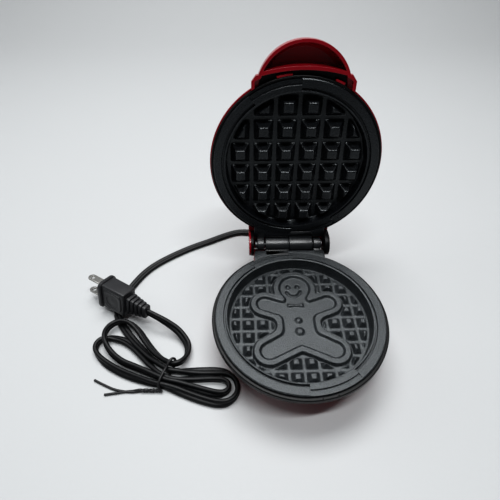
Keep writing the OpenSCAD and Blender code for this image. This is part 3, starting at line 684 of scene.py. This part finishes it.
# The flange's two profiles, from the cavity's lip over the groove to the outer edge, as
# (radius, z above the parting plane). Both have the same number of points, so that the lathe
# can join them.
PLAIN = [(51.35, -0.5), (51.75, -0.2), (52.5, -0.2), (52.75, -0.5), (52.85, -2.4), (53.95, -2.4),
         (54.0, -0.95), (54.35, -0.6), (56.2, -0.6), (56.5, -0.6), (57.3, -0.6), (57.5, -0.6),
         (59.4, -0.6), (60.0, -1.1), (60.0, -3.2)]
STEP = [(51.35, -0.5), (51.75, -0.2), (52.5, -0.2), (53.0, -0.2), (53.1, -0.2), (53.7, -0.2),
        (53.9, -0.2), (54.3, -0.2), (55.9, -0.2), (56.2, -0.5), (56.3, -1.3), (56.9, -1.3),
        (57.1, -1.0), (59.7, -1.1), (60.0, -3.2)]
GRID = 0.36                 # spacing of the cavity floor's fine grid
TONGUE_HALF = 28.5          # half its width
TONGUE_R = 59.4             # its front follows the flange
TONGUE_Z = 0.6              # its face's depth below the parting plane, as the flange's
TONGUE_THICK = 2.6
# The two arms of a plate: from, to and radius of the boss, along the hinge from its middle
KNUCKLE = (0.2, 19.2, 6.0)
EAR = (-26.0, -20.1, 5.2)


def plate_rim(name, depth, place):
    """The cavity's wall, the flange and the plate's back, as z below the parting plane."""
    wall = [(CAVITY_R, -depth), (CAVITY_R + 0.35, 0.12 - depth), (CAVITY_R + 0.7, 0.6 - depth)]
    back = [(54.8, -3.2), (53.2, -depth - 3), (0.01, -depth - 3)]
    rows = []
    for i in range(RIM_STEPS):
        angle = 360 * i / RIM_STEPS
        stepped = any(low <= angle < high for low, high in STEPPED)
        rows.append((angle, STEP if stepped else PLAIN))
    for low, high in STEPPED:
        rows += [(low, PLAIN), (high, STEP)]
    rows.sort(key=lambda row: (row[0], row[1] is PLAIN))
    rim = lathe(name, [(angle, [(r, -z) for r, z in wall + kind + back])
                       for angle, kind in rows], place)
    sharpen(rim, 38)
    return rim


def blurred(h):
    """Heights on a grid, softened a little along both axes."""
    p = np.pad(h, 1, mode="edge")
    h = (p[:-2, 1:-1] + 2 * h + p[2:, 1:-1]) / 4
    p = np.pad(h, 1, mode="edge")
    return (p[1:-1, :-2] + 2 * h + p[1:-1, 2:]) / 4


def relief_grid(name, depth, height, place, mirror):
    """The cavity's floor: a fine grid raised by height(x, y), trimmed to a circle."""
    n = int(CAVITY_R / GRID) + 1
    axis = np.arange(-n, n + 1) * GRID
    x, y = np.meshgrid(axis, axis, indexing="ij")
    h = blurred(blurred(height(x, y)))

    # Only the cells that lie whole inside the circle are kept
    inside = np.hypot(x, y) < CAVITY_R - GRID * 0.1
    cell = inside[:-1, :-1] & inside[1:, :-1] & inside[:-1, 1:] & inside[1:, 1:]
    ids = np.arange(x.size).reshape(x.shape)
    quads = np.stack([ids[:-1, :-1][cell], ids[1:, :-1][cell], ids[1:, 1:][cell],
                      ids[:-1, 1:][cell]], axis=1)
    used, quads, cells = np.unique(quads, return_inverse=True, return_counts=True)
    quads = quads.reshape(-1, 4)

    # The outermost points move out to the circle, down on the floor
    x, y, h = x.ravel()[used], y.ravel()[used], h.ravel()[used]
    edge = cells < 4
    grow = np.where(edge, CAVITY_R / np.maximum(np.hypot(x, y), 1e-6), 1.0)
    h = np.where(edge, 0.0, h)
    verts = np.stack([mirror * x * grow, y * grow, depth - h], axis=1)
    obj = new_object(name, verts, quads.tolist(), place)
    fix_normals(obj)
    return obj


def ramp(v, low, high):
    """0 below low, 1 above high, a little rounded at both ends."""
    t = np.clip((v - low) / (high - low), 0, 1)
    return t * t * (3 - 2 * t) * 0.35 + t * 0.65


def stud_field(x, y, pitch, corner, foot, top, height, limit, fade):
    """Heights of blunt square pyramids in rows, cut off towards a circle. foot and top are
    half widths, and corner is a point between four pyramids."""
    cx = (np.floor((x - corner[0]) / pitch) + 0.5) * pitch + corner[0]
    cy = (np.floor((y - corner[1]) / pitch) + 0.5) * pitch + corner[1]
    off = np.maximum(np.abs(x - cx), np.abs(y - cy))
    pyramid = np.clip((foot - off) / (foot - top), 0, 1)
    return height * np.minimum(pyramid, np.clip((limit - np.hypot(x, y)) / fade, 0, 1))


def lid_pattern(x, y):
    """Large blunt pyramids."""
    return stud_field(x, y, pitch=16.5, corner=(0.8, 0), foot=6.6, top=3.15, height=7.0,
                      limit=48.3, fade=0.9)


def capsule(x, y, a, b, r, r_end=None):
    """Signed distance to a straight limb from a to b with round ends."""
    dx, dy = b[0] - a[0], b[1] - a[1]
    t = np.clip(((x - a[0]) * dx + (y - a[1]) * dy) / (dx * dx + dy * dy), 0, 1)
    radius = r if r_end is None else r + (r_end - r) * t
    return np.hypot(x - a[0] - t * dx, y - a[1] - t * dy) - radius


def smooth_min(a, b, k):
    """The lower of two distances, with the corner between them filled in."""
    h = np.clip(0.5 + 0.5 * (b - a) / k, 0, 1)
    return b * (1 - h) + a * h - k * h * (1 - h)


# The biscuit figure, in the base plate's own frame
FIGURE_X = -0.3             # its middle line
FLOOR_H = 0.8               # height of the figure's inner floor above the cavity's floor
BAND_H = 3.0                # height of the raised band round it
BAND_INNER = (-0.7, 0.45)   # where the band rises, as distances from the inner outline
BAND_OUTER = (4.5, 5.2)     # where it falls again
BAND_MIDDLE = 2.5
STUD_H = 4.0                # height of the small studs round the band
STUD_FROM = 6.1             # where they start, as a distance from the inner outline
STUD_RISE = 0.5             # how much further out they reach their height
SMILE = [(-6.3, 26.0), (-5.1, 24.0), (-3.4, 22.6), (-1.1, 22.0), (1.2, 22.6), (3.1, 24.2),
         (4.4, 26.6)]
SMILE_HALF = 0.75
EYES = ((-4.9, 30.9), (2.3, 30.9))
EYE_R = 1.5
FACE_DEPTH = 1.8
BUTTONS = ((-0.6, 2.8, 1.6, 1.5), (-9.8, 3.5, 1.8, 1.8))    # y, radius, height, slope's width
BOW_AT = (-1.0, 12.7)
BOW_HALF = 5.9              # half its length
BOW_WAIST = 0.7             # half its height in the middle
BOW_FLARE = 0.17            # how fast that grows towards the ends
BOW_H = 1.5
RINGS = ((-34.0, -31.5), (34.0, -31.5))                     # two small moulded rings
RING_R = 1.3
RING_HALF = 0.35            # half the width of a ring's line
RING_H = 0.5


def figure_distance(x, y):
    """Signed distance to the biscuit figure's inner outline, with soft inner corners."""
    x = x - FIGURE_X
    side = np.abs(x)
    head = np.hypot(x, y - 28.5) - 11.7
    neck = capsule(x, y, (0, 22), (0, 12), 7.8)
    torso = capsule(x, y, (0, 7), (0, -8), 11.4)
    arms = capsule(side, y, (6, 7.6), (23.7, 14.3), 6.0)
    legs = capsule(side, y, (4.5, -15.3), (22.4, -25.0), 7.0, 6.3)
    upper = smooth_min(smooth_min(head, neck, 2.0), arms, 2.2)
    lower = smooth_min(torso, legs, 4.0)
    return smooth_min(upper, lower, 4.0)


def face_distance(x, y):
    """Signed distance to the sunk eyes and smile."""
    strokes = [capsule(x, y, a, b, SMILE_HALF) for a, b in zip(SMILE, SMILE[1:])]
    eyes = [np.hypot(x - ex, y - ey) - EYE_R for ex, ey in EYES]
    return np.minimum.reduce(strokes + eyes)


def raised(h, distance, height, slope):
    """Heights with a shape raised above the figure's floor, where its distance is below 0."""
    shape = FLOOR_H + height * (1 - ramp(distance, -slope, 0.15))
    return np.where(distance < 0.2, np.maximum(h, shape), h)


def base_pattern(x, y):
    """Small studs round a biscuit figure in low relief."""
    h = stud_field(x, y, pitch=10.3, corner=(-0.5, 2), foot=4.0, top=1.8, height=STUD_H,
                   limit=48.2, fade=0.7)
    outline = figure_distance(x, y)
    h = np.minimum(h, np.clip((outline - STUD_FROM) / STUD_RISE, 0, 1) * STUD_H)
    inner = FLOOR_H + (BAND_H - FLOOR_H) * ramp(outline, *BAND_INNER)
    outer = BAND_H * (1 - ramp(outline, *BAND_OUTER))
    h = np.maximum(h, np.where(outline < BAND_MIDDLE, inner, outer))
    for button_y, radius, height, slope in BUTTONS:
        distance = np.hypot(x - FIGURE_X, y - button_y) - radius
        h = raised(h, distance, height, slope)
    h = h - FACE_DEPTH * (1 - ramp(face_distance(x, y), -0.1, 0.3))
    along, across = np.abs(x - BOW_AT[0]), np.abs(y - BOW_AT[1])
    bow = np.maximum(along - BOW_HALF, across - (BOW_WAIST + BOW_FLARE * along))
    h = raised(h, bow, BOW_H, 0.6)
    for ring_x, ring_y in RINGS:
        ring = np.abs(np.hypot(x - ring_x, y - ring_y) - RING_R) - RING_HALF
        h = np.where(ring < 0, np.maximum(h, RING_H), h)
    return h


def knuckle(name, x0, x1, radius, place):
    """A hinge boss along x on its arm, drawn in a half's own frame."""
    outline = [(63.6, TONGUE_Z), (64.2, TONGUE_Z / 2)]
    outline += arc(radius, 185, 360, 24, (HINGE_Y, 0))
    outline += arc(radius, 0, 100, 8, (HINGE_Y, 0))[1:]
    outline += [(64.8, radius - 0.4), (58.4, 3.2), (57.4, 3.2), (57.4, TONGUE_Z)]
    obj = prism(name, outline, x0, x1, place)
    soften(obj, 0.55, 3)
    return obj


def tongue(name, middle, place):
    """The flat plate behind the flange that carries the knuckles, round at its front."""
    front = [(x, math.sqrt(TONGUE_R ** 2 - x ** 2))
             for x in middle + np.linspace(TONGUE_HALF, -TONGUE_HALF, 25)]
    inset = TONGUE_HALF - 1
    back = [(middle + x, y) for x, y in
            ((-TONGUE_HALF, 61.4), (-inset, 62.4), (inset, 62.4), (TONGUE_HALF, 61.4))]
    sunk = place @ Matrix.Translation((0, 0, TONGUE_Z))
    obj = prism(name, front + back, 0, TONGUE_THICK, sunk, along="z")
    soften(obj, 0.4, 2)
    return obj


def add_plate(name, node, body, slot, depth, pattern, place, mirror, mats):
    """A baking plate, and its two hinge arms as a piece of their own. mirror is -1 for the
    base plate, whose own frame is turned over."""
    hinge = -mirror * HINGE_LEFT
    plate = join(name, [
        relief_grid(name + "_floor", depth, pattern, place, mirror),
        plate_rim(name + "_rim", depth, place),
        tongue(name + "_tongue", hinge, place)])
    plate.data.materials.append(mats[slot])
    arms = join(name + "_arms", [
        knuckle("arm", hinge + low, hinge + high, radius, place)
        for low, high, radius in (KNUCKLE, EAR)])
    arms.data.materials.append(mats["knuckle"])
    for piece in (plate, arms):
        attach(piece, body)
    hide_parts(node)


# ---------- hinge ears, with painted shade ---

EAR_IN = 29.3               # inner face of the lid shell's ears, from the hinge's middle
# Painted shade: the black caps cover the red ears where they stand in shadow, and the right cap
# covers nearly all of its ear, for the deeper shadow on that side
EAR_SHADE_CAPS = ((-1, 2.0), (1, 3.45))   # side, and how far the cap covers the ear outwards
EAR_SHADE_CAP_R = 9.25


def add_ear_shade_caps(mats):
    """Black caps over the inner part of each hinge ear, riding the lid: painted shade, a dark
    sheet put where the red ears stand in shadow.
    """
    outline = [(59.6, 7.4), (59.6, 1.0)]
    outline += arc(EAR_SHADE_CAP_R, 185, 355, 24, (HINGE_Y, 0))
    outline += [(78.2, 1.0), (78.2, 7.4)]
    caps = []
    for side, cover in EAR_SHADE_CAPS:
        inner, outer = side * (EAR_IN - 0.5), side * (EAR_IN + cover)
        cap = prism("cap", outline, inner - HINGE_LEFT, outer - HINGE_LEFT, LID_M)
        soften(cap, 0.4, 2)
        caps.append(cap)
    whole = join("hinge_ear_shade_caps", caps)
    whole.data.materials.append(mats["black_plastic"])
    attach(whole, "lid")


# ---------- CAD nodes ----------

def dress_cad(mats):
    """Gives every CAD node the finish that the record names for it."""
    slots = {s["node"]: s["material_slot"] for s in frame["record"]["subparts"]}
    for node, obj in frame["nodes"].items():
        material = mats[slots[node]]
        if not obj.material_slots:
            obj.data.materials.append(material)
        for slot in obj.material_slots:
            slot.link = "OBJECT"
            slot.material = material


# ---------- stage ----------

FLOOR_HALF = 1600           # half its width
FLOOR_FRONT = -1200
FLOOR_BACK = 600            # where the floor starts to curve up into the backdrop
CURVE_R = 500
BACKDROP_TOP = 2400


def add_stage(mats):
    """A pale paper floor, which curves up into a backdrop far behind."""
    steps = 20
    profile = [(y, 0) for y in np.linspace(FLOOR_FRONT, FLOOR_BACK, steps, endpoint=False)]
    profile += arc(CURVE_R, -90, 0, steps, (FLOOR_BACK, CURVE_R))
    profile += [(FLOOR_BACK + CURVE_R, z) for z in (BACKDROP_TOP / 2, BACKDROP_TOP)]
    verts = [(x, y, z) for y, z in profile for x in (-FLOOR_HALF, FLOOR_HALF)]
    faces = [(k, k + 1, k + 3, k + 2) for k in range(0, len(verts) - 2, 2)]
    floor = new_object("floor", verts, faces)
    floor.data.materials.append(mats["floor_paper"])


# Soft lights, in metres and watts: place, target, (width, height), power, colour
LIGHTS = {
    "key": ((-0.08, 0.36, 1.12), (0, 0.0, 0.03), (0.85, 0.5), 11.6, (0.99, 0.995, 1.0)),
    "front_top": ((0.05, -0.26, 1.15), (0, 0.04, 0.1), (0.7, 0.06), 7.2, (0.97, 0.99, 1.0)),
    "side": ((-0.9, 0.2, 0.6), (0, 0.02, 0.06), (0.5, 0.5), 1.2, (0.97, 0.985, 1.0))}
WORLD_COLOUR = (0.93, 0.96, 1.0, 1)
WORLD_STRENGTH = 0.07


def add_lights():
    for name, (at, target, size, power, colour) in LIGHTS.items():
        data = bpy.data.lights.new(name, "AREA")
        data.shape = "RECTANGLE"
        data.size, data.size_y = size
        data.energy = power
        data.color = colour
        light = link(bpy.data.objects.new(name, data))
        light.location = at
        light.rotation_euler = (Vector(target) - Vector(at)).to_track_quat("-Z", "Y").to_euler()
    world = bpy.data.worlds.new("world")
    world.use_nodes = True
    background = world.node_tree.nodes["Background"]
    background.inputs["Color"].default_value = WORLD_COLOUR
    background.inputs["Strength"].default_value = WORLD_STRENGTH
    bpy.context.scene.world = world


def main():
    add_camera()
    mats = make_materials()
    cord, path, length = add_cord(mats)
    tie = add_tie(mats)
    plug = add_plug(mats)
    pair = add_blades(mats)
    add_plate("base_plate", "lower_plate", "base", "plate_coating", depth=10.0,
              pattern=base_pattern, place=BASE_M, mirror=-1, mats=mats)
    # The lid plate gets the darker copy of the coating, which paints in the lid's shade
    add_plate("lid_plate", "upper_plate", "lid", "plate_coating_dark", depth=8.0,
              pattern=lid_pattern, place=LID_M, mirror=1, mats=mats)
    add_ear_shade_caps(mats)
    dress_cad(mats)
    add_stage(mats)
    add_lights()


main()
scene = bpy.context.scene
scene.view_settings.view_transform = "Standard"
scene.view_settings.look = "Medium High Contrast"
